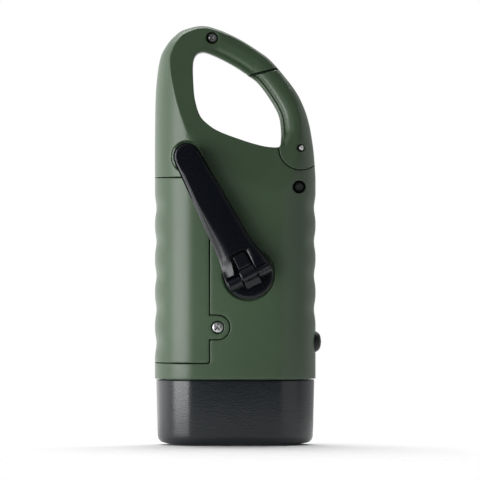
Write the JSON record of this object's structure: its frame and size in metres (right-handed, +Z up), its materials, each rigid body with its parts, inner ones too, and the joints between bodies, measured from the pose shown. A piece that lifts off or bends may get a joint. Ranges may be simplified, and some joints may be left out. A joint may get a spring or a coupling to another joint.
{
  "type": "hand-cranked solar flashlight",
  "caption": "Pocket flashlight with a folding dynamo crank, a solar cell on its back and a carabiner loop with a sprung gate.",
  "frame": {"origin": "bottom centre of the object's box, under the lens bezel it stands on", "axes": "+Z up from the lens to the carabiner loop; the crank is on the -Y face, the solar cell on the +Y face and the push button on the +X side"},
  "size_m": [0.0536, 0.0384, 0.135],
  "materials": {
    "green_plastic": "satin moulded olive green plastic",
    "black_plastic": "fine textured black plastic",
    "crank_plastic": "semi-gloss black plastic",
    "button_rubber": "matt black rubber",
    "bright_steel": "bright plated steel",
    "dark_steel": "blackened steel",
    "clear_plastic": "clear moulded plastic",
    "led_clear": "clear epoxy with yellow phosphor",
    "mirror_chrome": "vacuum metallised plastic",
    "solar_blue": "dark silicon under resin",
    "gear_nylon": "natural nylon",
    "coil_copper": "enamelled copper wire",
    "core_iron": "stacked silicon steel",
    "magnet_grey": "sintered ferrite",
    "board_green": "solder mask on glass fibre board",
    "cell_wrap": "plain shrink wrap",
    "contact_nickel": "nickel plated spring steel",
    "bush_brass": "turned brass",
    "lead_red": "PVC covered lead"
  },
  "bodies": {
    "case": {"front_shell": "green_plastic", "rear_shell": "green_plastic", "battery_cover": "green_plastic", "bezel": "black_plastic", "gearbox_plate": "black_plastic", "switch_body": "black_plastic", "battery_tray": "black_plastic", "charge_chip": "black_plastic", "led_lead_2": "black_plastic", "lens_gasket": "button_rubber", "battery_cover_screw": "bright_steel", "case_screw_top": "bright_steel", "axle_1": "bright_steel", "axle_2": "bright_steel", "gate_pin": "bright_steel", "plate_screw_1": "bright_steel", "plate_screw_2": "bright_steel", "plate_screw_3": "bright_steel", "board_screw_1": "bright_steel", "board_screw_2": "bright_steel", "case_screw_side": "dark_steel", "charge_diode": "dark_steel", "lens": "clear_plastic", "solar_window": "clear_plastic", "led_1": "led_clear", "led_2": "led_clear", "led_3": "led_clear", "reflector": "mirror_chrome", "solar_cell": "solar_blue", "stator_coil": "coil_copper", "stator_core": "core_iron", "capacitor": "magnet_grey", "led_board": "board_green", "main_board": "board_green", "battery_cell_1": "cell_wrap", "battery_cell_2": "cell_wrap", "contact_lower": "contact_nickel", "contact_upper": "contact_nickel", "cell_spring_1": "contact_nickel", "cell_spring_2": "contact_nickel", "hub_bush": "bush_brass", "led_lead_1": "lead_red"},
    "crank": {"crank_hub": "crank_plastic", "crank_hinge_pin": "bright_steel", "crank_gear": "gear_nylon", "crank_gear_screw": "bright_steel"},
    "arm": {"crank_arm": "crank_plastic", "knob_screw": "bright_steel"},
    "knob": {"crank_knob": "crank_plastic"},
    "gear_1": {"gear_1": "gear_nylon"},
    "gear_2": {"gear_2": "gear_nylon"},
    "rotor": {"rotor_shaft": "bright_steel", "rotor_pinion": "bush_brass", "rotor_magnet": "magnet_grey"},
    "gate": {"gate": "green_plastic", "gate_spring": "bright_steel"},
    "button": {"push_button": "button_rubber", "switch_plunger": "gear_nylon"}
  },
  "joints": [
    {"name": "crank_spin", "type": "hinge", "parent": "case", "child": "crank", "pos_m": [0.0034, 0.0032, 0.0549], "axis": [0, -1, 0], "continuous": true},
    {"name": "crank_fold", "type": "hinge", "parent": "crank", "child": "arm", "pos_m": [0.0034, -0.0163, 0.0549], "axis": [0.8858, 0, 0.464], "range_deg": [0, 180]},
    {"name": "knob_spin", "type": "hinge", "parent": "arm", "child": "knob", "pos_m": [-0.01637, -0.0163, 0.09264], "axis": [0, -1, 0], "continuous": true},
    {"name": "gear_1_spin", "type": "hinge", "parent": "case", "child": "gear_1", "pos_m": [0.00109, 0.0032, 0.068], "axis": [0, -1, 0], "continuous": true},
    {"name": "gear_2_spin", "type": "hinge", "parent": "case", "child": "gear_2", "pos_m": [0.00751, 0.0032, 0.07717], "axis": [0, -1, 0], "continuous": true},
    {"name": "rotor_spin", "type": "hinge", "parent": "case", "child": "rotor", "pos_m": [0.01444, 0.0032, 0.07024], "axis": [0, -1, 0], "continuous": true},
    {"name": "gate_open", "type": "hinge", "parent": "case", "child": "gate", "pos_m": [0.02015, 0.0032, 0.0955], "axis": [0, -1, 0], "range_deg": [0, 24], "stiffness_Nm_per_rad": 0.05, "springref_deg": -17.19},
    {"name": "switch_press", "type": "slide", "parent": "case", "child": "button", "axis": [-1, 0, 0], "range_m": [0, 0.001], "stiffness_N_per_m": 800, "springref_m": -0.0008}
  ],
  "couplings": [
    {"joint": "gear_1_spin", "follows": "crank_spin", "ratio": -3.75},
    {"joint": "gear_2_spin", "follows": "crank_spin", "ratio": 11.25},
    {"joint": "rotor_spin", "follows": "crank_spin", "ratio": -28.125}
  ]
}
